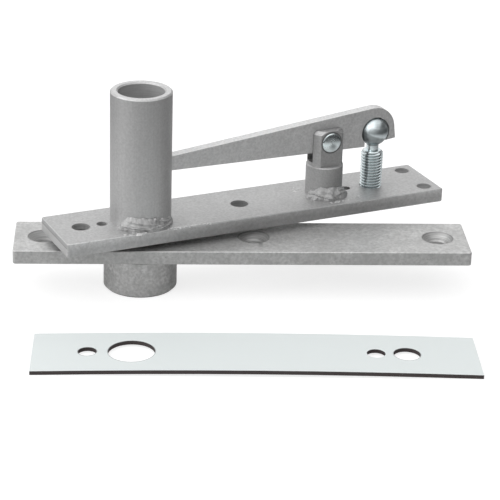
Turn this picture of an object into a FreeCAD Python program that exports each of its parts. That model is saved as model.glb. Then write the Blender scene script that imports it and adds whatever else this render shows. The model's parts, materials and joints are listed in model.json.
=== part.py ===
import FreeCAD, Part
import math
import os

# Retractable top pivot hinge for a centre-hung door.
# The upper, fixed portion is a flat bar let up into the door frame. It carries a tube that guides the
# pivot pin, a forked post with a walking beam riveted in it, and a ball-ended adjusting screw.
# The lower, swinging portion is a second bar let into the top of the door, with a bearing cup below it.
# Screwing the ball down rocks the beam, and the beam's other end draws the pin up out of the bearing.
#
# Millimetres. The swing axis is the Z axis. Z is 0 on the underside of the door plate.
# X runs along the frame plate, from the swing axis towards the adjusting screw.
# Heights named "_rise" are counted from the top face of the frame plate.

# Flat bar that both plates are cut from
bar_width = 31.75
bar_edge_break = 0.5
bar_corner_radius = 1.2

# Door plate, counted along its own length from the swing axis
door_plate_thickness = 5.8
door_plate_back = 52.1
door_plate_reach = 136.6
door_screw_back_inset = 12.1
door_screw_middle = 47.1
door_screw_far_inset = 12.3
door_screw_radius = 3.6
door_opening_deg = 21.7

# Frame plate
plate_gap = 2.45
frame_plate_thickness = 5.8
frame_plate_back = 37.9
frame_plate_reach = 134.8
frame_screw_back_inset = 11.6
frame_screw_middle = 44.9
frame_screw_radius = 3.75
end_screw_inset = 6.4
end_screw_spacing = 19.9
end_screw_radius = 3.1
cover_tap_places = (-17.15, 95.3)
cover_tap_radius = 2.0

# Countersinks for flat-head screws
sink_radius = 6.45
end_sink_radius = 5.3
sink_angle_deg = 82.0

# Tube that guides the pivot pin
tube_radius = 12.7
tube_bore_radius = 9.55
tube_height = 55.9
tube_rim_break = 0.6

# Pivot pin
pin_clearance = 0.05
pin_nose_radius = 7.94
pin_throw = 12.7
pin_flush = 0.2
pin_body_height = 33.0
pin_rim_break = 0.8
pin_nose_chamfer = 1.6

# Bearing cup and bush under the door plate
cup_radius = 15.3
cup_depth = 15.5
cup_floor = 3.2
cup_spigot_radius = 12.7
cup_rim_break = 0.8
bush_radius = 10.3

# Forked post and its rivet
post_place = 84.55
post_base_radius = 7.94
post_neck_radius = 7.5
post_step_rise = 13.45
post_top_rise = 29.3
post_flat_width = 11.5
post_top_chamfer = 1.5
post_step_break = 0.5
fork_floor_rise = 15.0
fork_side_clearance = 0.3
rivet_rise = 24.2
rivet_radius = 3.175
rivet_clearance = 0.05
rivet_head_radius = 4.2
rivet_head_height = 0.9
rivet_head_crown = 0.5
rivet_head_round = 0.3

# Ball-ended adjusting screw
screw_arm = 22.9
screw_radius = 4.7625
screw_clearance = 0.05
screw_door_clearance = 0.4
screw_end_chamfer = 0.7
screw_top_rise = 16.3
screw_top_chamfer = 1.5
screw_neck_radius = 2.6
ball_radius = 6.35
ball_rise = 24.9
key_across_flats = 4.76
key_depth = 4.0
key_sides = 6

# Walking beam
beam_thickness = 4.5
beam_edge_break = 0.4
beam_tip_radius = 2.45
beam_tip_rise = 22.75
socket_clearance = 0.25
mouth_half_width = 5.1
inner_lip_rise = 18.7
outer_lip_reach = 9.75
outer_lip_rise = 21.3
eye_radius = 10.1
eye_offset = -0.95
eye_rise = 25.9

# Windows that the beam moves in
window_side_clearance = 0.5
window_end_clearance = 1.0
pin_window_clearance = 0.25

# Weld beads
tube_weld_leg = 3.1
tube_weld_height = 5.3
post_weld_leg = 4.0
post_weld_height = 4.8
weld_crown = 0.5
tube_weld_gap_deg = 25.0
post_weld_gap_deg = 20.0
rear_weld_gap_deg = 66.0

# Cover plate, shown taken off and lying in front
cover_thickness = 1.6
cover_width = 33.1
cover_overhang = 0.65
cover_bow = 1.15
cover_screw_radius = 3.65
cover_pin_hole_radius = 9.2
cover_access_radius = 5.3
cover_lies_x = -29.0
cover_lies_y = -63.2
cover_turn_deg = -22.7

# How far a cut runs past what it cuts
cut_overrun = 5.0

# Places and heights that follow
screw_place = post_place + screw_arm
door_top = door_plate_thickness
frame_under = door_top + plate_gap
frame_top = frame_under + frame_plate_thickness
rivet_z = frame_top + rivet_rise
ball_z = frame_top + ball_rise
tip_z = frame_top + beam_tip_rise
rock_angle = pin_throw / post_place
screw_travel = screw_arm * rock_angle

UP = FreeCAD.Vector(0, 0, 1)
ACROSS = FreeCAD.Vector(0, 1, 0)
PARALLEL_TOLERANCE = 0.01


def at(x, y, z):
    return FreeCAD.Vector(x, y, z)


def rod(radius, low, high, x=0.0, y=0.0):
    """Upright round bar between two heights."""
    return Part.makeCylinder(radius, high - low, at(x, y, low), UP)


def taper(low_radius, high_radius, low, high, x=0.0, y=0.0):
    """Upright cone between two heights."""
    return Part.makeCone(low_radius, high_radius, high - low, at(x, y, low), UP)


def block(x_low, x_high, width, low, high):
    """Box centred across the bar."""
    return Part.makeBox(x_high - x_low, width, high - low, at(x_low, -width / 2, low))


def turned(profile, x=0.0):
    """Solid of revolution about an upright axis from (radius, height) points."""
    points = [at(x + radius, 0, height) for radius, height in profile]
    outline = Part.makePolygon(points + [points[0]])
    return Part.Face(outline).revolve(at(x, 0, 0), UP, 360)


def side_plate(edges, thickness):
    """Plate with its outline in the X-Z plane, centred across the bar."""
    face = Part.Face(Part.Wire(edges))
    face.translate(at(0, -thickness / 2, 0))
    return face.extrude(at(0, thickness, 0))


def line(start, end):
    return Part.LineSegment(start, end).toShape()


def arc(centre, radius, start_angle, end_angle):
    """Arc in the X-Z plane. Angles in radians from X towards Z."""
    angles = (start_angle, (start_angle + end_angle) / 2, end_angle)
    start, middle, end = (on_circle(centre, radius, angle) for angle in angles)
    return Part.Arc(start, middle, end).toShape()


def on_circle(centre, radius, angle):
    return centre + at(radius * math.cos(angle), 0, radius * math.sin(angle))


def runs_along(edge, direction):
    return edge.tangentAt(edge.FirstParameter).cross(direction).Length < PARALLEL_TOLERANCE


def flat_bar(back, reach, low, thickness):
    """Length of flat bar with rounded corners and broken edges."""
    bar = block(-back, reach, bar_width, low, low + thickness)
    corners = [edge for edge in bar.Edges if runs_along(edge, UP)]
    bar = bar.makeFillet(bar_corner_radius, corners)
    rims = [edge for edge in bar.Edges if edge.BoundBox.ZLength < thickness / 2]
    return bar.makeFillet(bar_edge_break, rims)


def sunk_hole(radius, head_radius, face_z, far_z, x, y=0.0):
    """Screw hole with a countersink at face_z, running through to far_z."""
    into = 1.0 if far_z > face_z else -1.0
    depth = (head_radius - radius) / math.tan(math.radians(sink_angle_deg / 2))
    low, high = sorted((face_z, face_z + into * depth))
    if into > 0:
        sink = taper(head_radius, radius, low, high, x, y)
    else:
        sink = taper(radius, head_radius, low, high, x, y)
    return rod(radius, min(face_z, far_z), max(face_z, far_z), x, y).fuse(sink)


def beam_turned(place, rise, angle):
    """Where a point of the beam's outline goes when the beam has rocked by angle."""
    dx = place - post_place
    dz = rise - rivet_rise
    x = post_place + dx * math.cos(angle) + dz * math.sin(angle)
    return x, rivet_rise - dx * math.sin(angle) + dz * math.cos(angle)


def beam_slopes():
    """Angles of the beam's top edge and bottom edge, from the circles and lip that they meet."""
    span = (screw_place + eye_offset, eye_rise - beam_tip_rise)
    top = math.atan2(span[1], span[0]) + math.asin((eye_radius - beam_tip_radius) / math.hypot(*span))
    reach = (screw_place - mouth_half_width, inner_lip_rise - beam_tip_rise)
    bottom = math.atan2(reach[1], reach[0]) + math.asin(beam_tip_radius / math.hypot(*reach))
    return top, bottom


def beam_top_rise(place):
    top, _ = beam_slopes()
    return beam_tip_rise + beam_tip_radius / math.cos(top) + place * math.tan(top)


def beam_bottom_rise(place):
    _, bottom = beam_slopes()
    return beam_tip_rise - beam_tip_radius / math.cos(bottom) + place * math.tan(bottom)


def frame_plate():
    """Bar that is let into the door frame, countersunk from below."""
    plate = flat_bar(frame_plate_back, frame_plate_reach, frame_under, frame_plate_thickness)
    cuts = [rod(pin_nose_radius + pin_clearance, frame_under, frame_top)]
    cuts.append(rod(screw_radius + screw_clearance, frame_under, frame_top, screw_place))
    for place in (frame_screw_back_inset - frame_plate_back, frame_screw_middle):
        cuts.append(sunk_hole(frame_screw_radius, sink_radius, frame_under, frame_top, place))
    end_place = frame_plate_reach - end_screw_inset
    for side in (-1, 1):
        across = side * end_screw_spacing / 2
        cuts.append(sunk_hole(end_screw_radius, end_sink_radius, frame_under, frame_top, end_place, across))
    for place in cover_tap_places:
        cuts.append(rod(cover_tap_radius, frame_under, frame_top, place))
    return plate.cut(cuts)


def tube_housing():
    """Tube that guides the pin, with a window for the beam on the post's side."""
    rim = frame_top + tube_height
    bore = tube_bore_radius
    profile = [(bore, frame_top), (tube_radius, frame_top), (tube_radius, rim - tube_rim_break)]
    profile += [(tube_radius - tube_rim_break, rim), (bore + tube_rim_break, rim), (bore, rim - tube_rim_break)]
    window_low = frame_top + beam_bottom_rise(tube_radius) - window_end_clearance
    _, raised = beam_turned(bore, beam_top_rise(bore), rock_angle)
    window_high = frame_top + raised + window_end_clearance
    window_width = beam_thickness + 2 * window_side_clearance
    window = block(0, tube_radius + cut_overrun, window_width, window_low, window_high)
    return turned(profile).cut(window)


def pivot_pin():
    """Stepped pin: its shoulder stops on the frame plate and its nose runs in the door's bush."""
    body_radius = tube_bore_radius - pin_clearance
    top = frame_top + pin_body_height
    nose_end = frame_under - pin_throw + pin_flush
    profile = [(0, nose_end), (pin_nose_radius - pin_nose_chamfer, nose_end)]
    profile += [(pin_nose_radius, nose_end + pin_nose_chamfer), (pin_nose_radius, frame_top)]
    profile += [(body_radius, frame_top), (body_radius, top - pin_rim_break)]
    profile += [(body_radius - pin_rim_break, top), (0, top)]
    return turned(profile).cut(pin_window())


def pin_window():
    """Flared window in the pin: it holds the beam's round tip and leaves room for the beam to rock."""
    mouth = tube_bore_radius + cut_overrun
    half = beam_tip_radius + pin_window_clearance
    tip = at(0, 0, tip_z)
    upper = frame_top + beam_top_rise(mouth) + pin_window_clearance
    _, fallen = beam_turned(mouth, beam_bottom_rise(mouth), rock_angle)
    lower = frame_top + fallen - pin_throw - pin_window_clearance
    start = at(0, 0, tip_z + half)
    end = at(0, 0, tip_z - half)
    far_top = at(mouth, 0, upper)
    far_bottom = at(mouth, 0, lower)
    back = on_circle(tip, half + window_end_clearance, math.pi)
    edges = [line(end, far_bottom), line(far_bottom, far_top), line(far_top, start)]
    edges.append(Part.Arc(start, back, end).toShape())
    return side_plate(edges, beam_thickness + 2 * window_side_clearance)


def clevis_post():
    """Round post on the frame plate, turned down above a step, then flatted and slotted for the beam."""
    step = frame_top + post_step_rise
    top = frame_top + post_top_rise
    x = post_place
    base_profile = [(0, frame_top), (post_base_radius, frame_top), (post_base_radius, step - post_step_break)]
    base_profile += [(post_base_radius - post_step_break, step), (0, step)]
    base = turned(base_profile, x)
    neck_profile = [(0, step), (post_neck_radius, step), (post_neck_radius, top - post_top_chamfer)]
    neck_profile += [(post_neck_radius - post_top_chamfer, top), (0, top)]
    over = post_neck_radius + cut_overrun
    flats = block(x - over, x + over, post_flat_width, step, top)
    fork = block(x - over, x + over, beam_thickness + 2 * fork_side_clearance,
                 frame_top + fork_floor_rise, top + cut_overrun)
    rivet_hole = Part.makeCylinder(rivet_radius + rivet_clearance, 2 * over, at(x, -over, rivet_z), ACROSS)
    neck = turned(neck_profile, x).common(flats)
    return base.fuse(neck).cut([fork, rivet_hole]).removeSplitter()


def beam_rivet():
    """Rivet that the beam rocks on, with a crowned head outside each ear of the fork."""
    outer = post_flat_width / 2
    head_end = outer + rivet_head_height
    head_side = head_end - rivet_head_crown
    crown_radius = (rivet_head_radius ** 2 + rivet_head_crown ** 2) / (2 * rivet_head_crown)
    rivet = Part.makeCylinder(rivet_radius, 2 * outer, at(post_place, -outer, rivet_z), ACROSS)
    for side in (-1, 1):
        head = Part.makeCylinder(rivet_head_radius, rivet_head_height,
                                 at(post_place, side * outer, rivet_z), ACROSS * side)
        crown = Part.makeSphere(crown_radius, at(post_place, side * (head_end - crown_radius), rivet_z))
        head = head.common(crown)
        rim = [edge for edge in head.Edges
               if abs(edge.BoundBox.Center.y - side * head_side) < rivet_head_height / 4]
        rivet = rivet.fuse(head.makeFillet(rivet_head_round, rim))
    return rivet.removeSplitter()


def walking_beam():
    """Tapered lever with a round tip for the pin and an open socket for the ball."""
    top, bottom = beam_slopes()
    tip = at(0, 0, tip_z)
    eye = at(screw_place + eye_offset, 0, frame_top + eye_rise)
    ball = at(screw_place, 0, ball_z)
    inner_lip = at(screw_place - mouth_half_width, 0, frame_top + inner_lip_rise)
    outer_lip = at(screw_place + outer_lip_reach, 0, frame_top + outer_lip_rise)

    tip_top = on_circle(tip, beam_tip_radius, top + math.pi / 2)
    tip_bottom = on_circle(tip, beam_tip_radius, bottom - math.pi / 2)
    eye_top = on_circle(eye, eye_radius, top + math.pi / 2)
    to_lip = outer_lip - eye
    lip_angle = math.atan2(to_lip.z, to_lip.x)
    cheek_angle = lip_angle + math.acos(eye_radius / to_lip.Length)
    cheek = on_circle(eye, eye_radius, cheek_angle)

    socket_radius = ball_radius + socket_clearance
    mouth_angle = math.acos(mouth_half_width / socket_radius)
    mouth_left = on_circle(ball, socket_radius, math.pi + mouth_angle)
    mouth_right = on_circle(ball, socket_radius, 2 * math.pi - mouth_angle)

    edges = [arc(tip, beam_tip_radius, top + math.pi / 2, bottom + 3 * math.pi / 2)]
    edges += [line(tip_bottom, inner_lip), line(inner_lip, mouth_left)]
    edges.append(arc(ball, socket_radius, math.pi + mouth_angle, -mouth_angle))
    edges += [line(mouth_right, outer_lip), line(outer_lip, cheek)]
    edges += [arc(eye, eye_radius, cheek_angle, top + math.pi / 2), line(eye_top, tip_top)]
    beam = side_plate(edges, beam_thickness)
    long_edges = [edge for edge in beam.Edges
                  if edge.BoundBox.YLength < beam_thickness / 2 and edge.Length > 2 * eye_radius
                  and edge.CenterOfMass.distanceToPoint(ball) > socket_radius]
    beam = beam.makeFillet(beam_edge_break, long_edges)
    hole = Part.makeCylinder(rivet_radius + rivet_clearance, 2 * beam_thickness,
                             at(post_place, -beam_thickness, rivet_z), ACROSS)
    return beam.cut(hole)


def adjusting_screw():
    """Screw with a ball on a thin neck above, and a hexagon socket for a key below."""
    low = door_top + screw_door_clearance + screw_travel
    top = frame_top + screw_top_rise
    profile = [(0, low), (screw_radius - screw_end_chamfer, low), (screw_radius, low + screw_end_chamfer)]
    profile += [(screw_radius, top - screw_top_chamfer), (screw_radius - screw_top_chamfer, top)]
    profile += [(screw_neck_radius, top), (screw_neck_radius, ball_z), (0, ball_z)]
    shank = turned(profile, screw_place)
    ball = Part.makeSphere(ball_radius, at(screw_place, 0, ball_z))
    corner = key_across_flats / 2 / math.cos(math.pi / key_sides)
    turns = [2 * math.pi * n / key_sides for n in range(key_sides + 1)]
    points = [at(screw_place + corner * math.cos(turn), corner * math.sin(turn), low) for turn in turns]
    key = Part.Face(Part.makePolygon(points)).extrude(at(0, 0, key_depth))
    return shank.fuse(ball).cut(key).removeSplitter()


def weld_bead(x, radius, leg, height, start_deg, sweep_deg):
    """Crowned fillet bead round the foot of a round piece that stands on the frame plate."""
    foot = at(x + radius + leg, 0, frame_top)
    crest = at(x + radius, 0, frame_top + height)
    root = at(x + radius, 0, frame_top)
    crown = (foot + crest) * 0.5 + at(weld_crown, 0, weld_crown)
    section = Part.Wire([line(root, foot), Part.Arc(foot, crown, crest).toShape(), line(crest, root)])
    bead = Part.Face(section).revolve(at(x, 0, 0), UP, sweep_deg)
    bead.rotate(at(x, 0, 0), UP, start_deg)
    return bead


def door_plate():
    """Bar that is let into the top of the door, countersunk from above."""
    plate = flat_bar(door_plate_back, door_plate_reach, 0, door_plate_thickness)
    cuts = [rod(cup_spigot_radius, 0, door_top)]
    places = (door_screw_back_inset - door_plate_back, door_screw_middle, door_plate_reach - door_screw_far_inset)
    for place in places:
        cuts.append(sunk_hole(door_screw_radius, sink_radius, door_top, 0, place))
    return opened(plate.cut(cuts))


def opened(shape):
    """Turn a door piece about the swing axis to the angle that the hinge is shown at."""
    shape.rotate(at(0, 0, 0), UP, -door_opening_deg)
    return shape


def bearing_cup():
    """Turned cup below the door plate, with a spigot that fills the hole in the plate."""
    low = -cup_depth
    profile = [(0, low), (cup_radius - cup_rim_break, low), (cup_radius, low + cup_rim_break), (cup_radius, 0)]
    profile += [(cup_spigot_radius, 0), (cup_spigot_radius, door_top), (bush_radius, door_top)]
    profile += [(bush_radius, low + cup_floor), (0, low + cup_floor)]
    return turned(profile)


def bearing_bush():
    """Plain bush in the cup, flush with the top of the door plate."""
    bore = pin_nose_radius + pin_clearance
    low = -cup_depth + cup_floor
    return turned([(bore, low), (bush_radius, low), (bush_radius, door_top), (bore, door_top)])


def cover_plate():
    """Thin plate that hides the frame plate, bowed a little along its length."""
    middle = (frame_plate_reach - frame_plate_back) / 2
    half = (frame_plate_reach + frame_plate_back) / 2 + cover_overhang
    floor = -cup_depth
    lower = Part.Arc(at(middle - half, 0, floor), at(middle, 0, floor + cover_bow), at(middle + half, 0, floor))
    lift = at(0, 0, cover_thickness)
    upper = lower.copy()
    upper.translate(lift)
    edges = [lower.toShape(), line(at(middle + half, 0, floor), at(middle + half, 0, floor) + lift),
             upper.toShape(), line(at(middle - half, 0, floor) + lift, at(middle - half, 0, floor))]
    plate = side_plate(Part.sortEdges(edges)[0], cover_width)
    high = floor + cover_bow + 2 * cover_thickness
    cuts = [rod(cover_pin_hole_radius, floor, high), rod(cover_access_radius, floor, high, screw_place)]
    for place in cover_tap_places:
        cuts.append(rod(cover_screw_radius, floor, high, place))
    plate = plate.cut(cuts)
    plate.rotate(at(0, 0, 0), UP, cover_turn_deg)
    plate.translate(at(cover_lies_x, cover_lies_y, 0))
    return plate


def weld_pair(x, radius, leg, height, gap_deg):
    """Long front bead and short rear bead, each with a gap to the bar's middle line at both ends."""
    front = weld_bead(x, radius, leg, height, 180 + gap_deg, 180 - 2 * gap_deg)
    rear = weld_bead(x, radius, leg, height, rear_weld_gap_deg, 180 - 2 * rear_weld_gap_deg)
    return front, rear


def build():
    tube_welds = weld_pair(0, tube_radius, tube_weld_leg, tube_weld_height, tube_weld_gap_deg)
    post_welds = weld_pair(post_place, post_base_radius, post_weld_leg, post_weld_height, post_weld_gap_deg)
    return {
        "frame_plate": frame_plate(),
        "tube_housing": tube_housing(),
        "tube_weld_front": tube_welds[0],
        "tube_weld_rear": tube_welds[1],
        "clevis_post": clevis_post(),
        "post_weld_front": post_welds[0],
        "post_weld_rear": post_welds[1],
        "beam_rivet": beam_rivet(),
        "walking_beam": walking_beam(),
        "adjusting_screw": adjusting_screw(),
        "pivot_pin": pivot_pin(),
        "door_plate": door_plate(),
        "bearing_cup": bearing_cup(),
        "bearing_bush": bearing_bush(),
        "cover_plate": cover_plate(),
    }


os.makedirs("parts", exist_ok=True)
for name, shape in build().items():
    shape.exportStep(os.path.join("parts", name + ".step"))
    print(name, "solids", len(shape.Solids), "valid", shape.isValid(), "volume", round(shape.Volume, 1))
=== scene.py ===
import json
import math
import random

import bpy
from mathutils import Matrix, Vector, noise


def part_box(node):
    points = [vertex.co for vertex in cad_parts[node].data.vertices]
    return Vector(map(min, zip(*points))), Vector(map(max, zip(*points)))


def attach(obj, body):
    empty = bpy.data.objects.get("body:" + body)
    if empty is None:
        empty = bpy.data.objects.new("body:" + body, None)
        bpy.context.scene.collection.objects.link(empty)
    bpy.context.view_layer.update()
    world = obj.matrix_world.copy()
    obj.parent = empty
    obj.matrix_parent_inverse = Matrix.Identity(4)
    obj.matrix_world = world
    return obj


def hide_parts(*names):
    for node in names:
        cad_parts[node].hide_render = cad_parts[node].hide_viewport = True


bl_info = {
    "name": "Pivot hinge",
    "version": (1, 0, 0),
    "blender": (4, 5, 0),
    "location": "View3D > Sidebar > Hinge",
    "description": "Finishes, weld beads, threaded screw and stage for a walking-beam pivot hinge",
    "category": "Object",
}

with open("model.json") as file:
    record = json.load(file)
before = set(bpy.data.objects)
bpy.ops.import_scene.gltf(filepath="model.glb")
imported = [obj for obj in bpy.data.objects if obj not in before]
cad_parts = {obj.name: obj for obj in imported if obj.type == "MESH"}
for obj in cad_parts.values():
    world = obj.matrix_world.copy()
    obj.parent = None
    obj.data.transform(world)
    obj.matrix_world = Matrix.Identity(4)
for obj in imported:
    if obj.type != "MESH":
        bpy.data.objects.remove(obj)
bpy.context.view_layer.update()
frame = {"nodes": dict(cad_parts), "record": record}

MM = 0.001
FULL_TURN = 2 * math.pi
MERGE_DISTANCE = 0.0001 * MM
SMOOTH_ANGLE = math.radians(32)
MASK_SHARPNESS = 12.0


def low_corner(node):
    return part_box(node)[0]


def high_corner(node):
    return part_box(node)[1]


PLATE_TOP = high_corner("frame_plate").z
PLATE_FRONT = low_corner("frame_plate").y
FLOOR = low_corner("bearing_cup").z
TUBE_RADIUS = high_corner("tube_housing").y
SCREW_X = (low_corner("adjusting_screw").x + high_corner("adjusting_screw").x) / 2
BALL_RADIUS = (high_corner("adjusting_screw").x - low_corner("adjusting_screw").x) / 2
RIVET_X = (low_corner("beam_rivet").x + high_corner("beam_rivet").x) / 2
RIVET_Z = (low_corner("beam_rivet").z + high_corner("beam_rivet").z) / 2
RIVET_HEAD_RADIUS = (high_corner("beam_rivet").x - low_corner("beam_rivet").x) / 2
POST_RADIUS = high_corner("clevis_post").y


def setting(name, description, default, unit="NONE"):
    return bpy.props.FloatProperty(name=name, description=description, default=default, unit=unit)


def length(name, description, millimetres):
    return setting(name, description, millimetres * MM, "LENGTH")


def lengths(name, description, *millimetres):
    return bpy.props.FloatVectorProperty(name=name, description=description, size=len(millimetres),
                                         default=[each * MM for each in millimetres], unit="LENGTH")


def colour_setting(name, description, *channels):
    return bpy.props.FloatVectorProperty(name=name, description=description, size=3, default=channels,
                                         subtype="COLOR")


class HingeSizes(bpy.types.PropertyGroup):
    """Sizes of the modelled details. Each is given here in millimetres."""

    thread_pitch: length("Thread pitch", "Rise of the adjusting screw's thread in one turn", 1.29)
    thread_radius: length("Thread radius", "Outer radius of the adjusting screw's thread", 4.7625)
    thread_depth: length("Thread depth", "Depth of the thread's groove", 0.7)
    shoulder_rise: length("Shoulder rise", "Height of the screw's shoulder over the frame plate", 16.3)
    shoulder_chamfer: length("Shoulder chamfer", "Chamfer on the screw's shoulder", 1.1)
    neck_radius: length("Neck radius", "Radius of the neck under the ball", 2.6)
    key_radius: length("Key radius", "Corner radius of the hexagon socket for the key", 2.748)
    key_depth: length("Key depth", "Depth of the hexagon socket", 4.0)
    rivet_radius: length("Rivet radius", "Radius of the rivet's shank", 3.175)
    rivet_head_height: length("Rivet head height", "Height of each rivet head over the post's flat", 0.9)
    rivet_crown: length("Rivet crown", "Rise of each rivet head's face from its rim to its middle", 0.5)
    rivet_head_chamfer: length("Rivet head chamfer", "Chamfer round each rivet head", 0.25)
    tube_bead_height: length("Tube bead height", "How far the weld climbs the tube", 5.3)
    tube_bead_leg: length("Tube bead leg", "How far the tube's weld spreads on the plate", 3.1)
    post_bead_height: length("Post bead height", "How far the weld climbs the post", 4.8)
    post_bead_leg: length("Post bead leg", "How far the post's weld spreads on the plate", 4.0)
    bead_lip: length("Bead lip", "Blunt edge of the weld beads at the foot and at the crest", 0.35)
    cover_pin_hole_radius: length("Cover pin hole", "Radius of the cover plate's hole for the pivot pin", 9.2)
    cover_key_hole_radius: length("Cover key hole", "Radius of the cover plate's hole for the key", 5.3)
    cover_screw_hole_radius: length("Cover screw hole", "Radius of the cover plate's screw holes", 3.65)
    cover_screw_inset: length("Cover screw inset", "From the cover's pin hole back to its screw hole", 17.15)
    cover_tap: length("Tapped hole", "Place of the frame plate's tapped hole behind the tube", -17.15)
    # Each hole finish sized below is turning rings with painted light and shade inside the hole, and a
    # painted shade line round its edge where one is drawn.
    cover_tap_radius: length("Tapped hole radius", "Radius of the tapped holes' finish", 2.1)
    cut_depth: length("Cut depth", "From the frame plate's top down to where its sheared end breaks", 1.9)
    frame_screws: lengths("Frame screw holes", "Places of the frame plate's large screw holes", -26.3, 44.9)
    frame_screw_radius: length("Frame screw hole radius", "Radius of the large screw holes' finish", 3.85)
    end_screws: lengths("End screw holes", "Place of the screw holes at the frame plate's end", 128.4, 9.95)
    end_screw_radius: length("End screw hole radius", "Radius of the end screw holes' finish", 3.2)
    tube_bore_radius: length("Tube bore radius", "Radius of the finish in the guide tube", 9.65)
    door_sinks: lengths("Door plate countersinks", "From the swing axis along the plate", -40.0, 47.1, 124.3)
    door_sink_radius: length("Countersink radius", "Radius of the door plate's countersinks", 6.45)
    door_stain: lengths("Door plate stain", "Start of the dark run below the middle countersink", 49.6, -5.9)
    door_turn: setting("Door plate turn", "How far the door plate is turned from the frame plate",
                       math.radians(-21.7), "ROTATION")


class HingeFinishes(bpy.types.PropertyGroup):
    """Colours of the finishes."""

    frame_steel: colour_setting("Frame steel", "Tumbled steel of the frame portion", 0.57, 0.57, 0.57)
    tube_steel: colour_setting("Tube steel", "Satin steel of the guide tube", 0.57, 0.57, 0.57)
    beam_steel: colour_setting("Beam steel", "Grey steel of the walking beam", 0.77, 0.77, 0.77)
    post_steel: colour_setting("Post steel", "Turned steel of the forked post", 0.51, 0.51, 0.51)
    weld_steel: colour_setting("Weld steel", "Steel of the weld beads", 0.46, 0.46, 0.46)
    door_steel: colour_setting("Door steel", "Mottled steel of the door portion", 0.66, 0.66, 0.655)
    zinc: colour_setting("Bright zinc", "Bright zinc plate of the screw and the rivet", 0.82, 0.90, 0.92)
    pin_steel: colour_setting("Pin steel", "Ground steel of the pivot pin", 0.5, 0.5, 0.51)
    bronze: colour_setting("Bronze", "Bearing bronze of the bush", 0.5, 0.33, 0.16)
    cover_face: colour_setting("Cover face", "Pale face of the cover plate", 0.71, 0.752, 0.75)
    cover_edge: colour_setting("Cover edge", "Dark cut edge of the cover plate", 0.045, 0.034, 0.034)


class HingeStage(bpy.types.PropertyGroup):
    """Camera and light."""

    eye: bpy.props.FloatVectorProperty(
        name="Camera place", description="Where the camera stands",
        default=(-0.296389, -0.731113, 0.340399), subtype="TRANSLATION", unit="LENGTH", size=3)
    yaw: setting("Yaw", "Camera's turn from +Y towards +X", 0.44308, "ROTATION")
    pitch: setting("Pitch", "Camera's tilt below the horizon", 0.40670, "ROTATION")
    roll: setting("Roll", "Camera's roll", 0.03008, "ROTATION")
    lens: setting("Lens", "Focal length on a 36 mm sensor", 148.30, "CAMERA")
    overhead_power: setting("Overhead lamp", "Power of the large lamp overhead", 25.5, "POWER")
    left_power: setting("Left lamp", "Power of the lamp on the camera's left", 8.0, "POWER")
    ambient: setting("Ambient", "Strength of the light from all round", 0.38)


def sizes():
    return bpy.context.scene.hinge_sizes


def finishes():
    return bpy.context.scene.hinge_finishes


# Modelling


def edit_mode():
    bpy.ops.object.mode_set(mode="EDIT")


def object_mode():
    bpy.ops.object.mode_set(mode="OBJECT")


def select_nothing():
    if bpy.context.object is not None and bpy.context.object.mode != "OBJECT":
        object_mode()
    bpy.ops.object.select_all(action="DESELECT")


def select_only(obj):
    select_nothing()
    obj.select_set(True)
    bpy.context.view_layer.objects.active = obj


def draw(name, points):
    """A line drawn by extruding one vertex from point to point. It is left in edit mode."""
    select_nothing()
    bpy.ops.mesh.primitive_plane_add(size=MM, location=(0, 0, 0))
    obj = bpy.context.object
    obj.name = name
    edit_mode()
    bpy.ops.mesh.select_all(action="SELECT")
    bpy.ops.mesh.merge(type="CENTER")
    bpy.ops.transform.translate(value=points[0])
    for start, end in zip(points, points[1:]):
        bpy.ops.mesh.extrude_region_move(TRANSFORM_OT_translate={"value": Vector(end) - Vector(start)})
    return obj


def close_up():
    """Merges doubles and turns the faces of the mesh in edit mode outwards."""
    bpy.ops.mesh.select_all(action="SELECT")
    bpy.ops.mesh.remove_doubles(threshold=MERGE_DISTANCE)
    bpy.ops.mesh.normals_make_consistent(inside=False)


def lathe(name, profile, centre, axis, steps, turn=FULL_TURN):
    """Spins a profile of (radius, distance along the axis) points about an axis through centre."""
    centre = Vector(centre)
    axis = Vector(axis)
    outward = axis.orthogonal().normalized()
    if abs(axis.z) > abs(axis.x) and abs(axis.z) > abs(axis.y):
        outward = Vector((1, 0, 0))
    points = [centre + outward * radius + axis * along for radius, along in profile]
    obj = draw(name, points)
    bpy.ops.mesh.select_all(action="SELECT")
    bpy.ops.mesh.spin(steps=steps, angle=-turn, center=centre, axis=axis)
    close_up()
    object_mode()
    return obj


def boolean(obj, other, operation):
    """Cuts, joins or keeps the common part of two closed pieces, and takes the second away."""
    select_only(obj)
    modifier = obj.modifiers.new(operation.title(), "BOOLEAN")
    modifier.operation = operation
    modifier.solver = "EXACT"
    modifier.object = other
    bpy.ops.object.modifier_apply(modifier=modifier.name)
    bpy.data.objects.remove(other)


def smooth(obj):
    select_only(obj)
    bpy.ops.object.shade_smooth_by_angle(angle=SMOOTH_ANGLE)


def clip(value):
    return max(0.0, min(1.0, value))


def arc_points(centre, radius, start, end, count):
    """Points of an arc in a (radius, along) profile, with angles from the radius direction."""
    points = []
    for step in range(count + 1):
        angle = start + (end - start) * step / count
        points.append((centre[0] + radius * math.cos(angle), centre[1] + radius * math.sin(angle)))
    return points


def fit_on(obj, node, body, material):
    """Finishes a modelled piece that stands for a CAD node."""
    obj.data.materials.clear()
    obj.data.materials.append(material)
    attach(obj, body)
    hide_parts(node)


# Materials


def shade(colour, factor):
    return tuple(min(1.0, channel * factor) for channel in colour)


def grey(level):
    return (level, level, level)


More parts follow.
